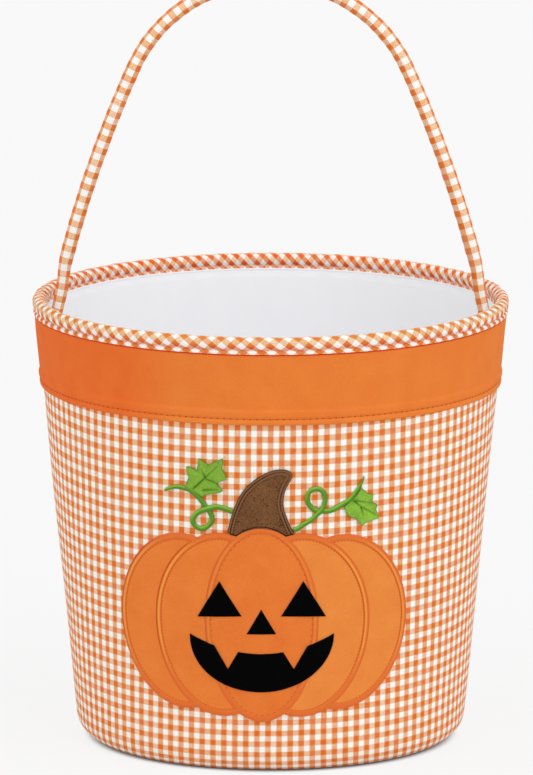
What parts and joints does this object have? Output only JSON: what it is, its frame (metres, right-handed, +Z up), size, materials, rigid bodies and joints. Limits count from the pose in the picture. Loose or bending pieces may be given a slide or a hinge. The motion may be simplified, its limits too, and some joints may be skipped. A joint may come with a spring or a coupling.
{
  "type": "trick-or-treat bag",
  "caption": "Tapered round fabric bucket bag with a stiffened gingham wall, plain band, piped rim, swinging rope handle, white lining and an appliqued pumpkin on its front.",
  "frame": {"origin": "on the floor, below the middle of the round base", "axes": "+Z up through the mouth, -Y towards the pumpkin on the front, X through the two handle pivots"},
  "size_m": [0.2498, 0.2498, 0.4047],
  "materials": {
    "gingham": "woven cotton check, orange on white",
    "band": "brushed suede-like cloth",
    "lining": "smooth white lining cloth",
    "foam": "light closed-cell foam sheet",
    "board": "light grey-board disc",
    "cord": "soft cotton filler cord",
    "pumpkin_felt": "matt felt",
    "pumpkin_thread": "satin-stitched thread",
    "face_felt": "matt black felt",
    "stem_felt": "brown felt",
    "stem_thread": "satin-stitched thread",
    "vine_thread": "satin-stitched thread",
    "leaf_thread": "embroidered thread"
  },
  "bodies": {
    "bucket": {"outer_wall": "gingham", "outer_base": "gingham", "wall_stiffener": "foam", "base_board": "board", "lining_wall": "lining", "lining_base": "lining", "top_band": "band", "rim_binding": "gingham", "rim_cord": "cord", "handle_root_left": "gingham", "handle_root_right": "gingham", "lobe_centre": "pumpkin_felt", "lobe_mid_left": "pumpkin_felt", "lobe_mid_right": "pumpkin_felt", "lobe_outer_left": "pumpkin_felt", "lobe_outer_right": "pumpkin_felt", "lobe_edging": "pumpkin_thread", "eye_left": "face_felt", "eye_right": "face_felt", "nose": "face_felt", "mouth": "face_felt", "stem": "stem_felt", "stem_edging": "stem_thread", "vine_left": "vine_thread", "vine_right": "vine_thread", "leaf_left": "leaf_thread", "leaf_right": "leaf_thread"},
    "handle": {"handle_cover": "gingham", "handle_core": "cord"}
  },
  "joints": [
    {"name": "handle_swing", "type": "hinge", "parent": "bucket", "child": "handle", "pos_m": [0, 0, 0.231], "axis": [1, 0, 0], "range_deg": [-84, 84]}
  ]
}
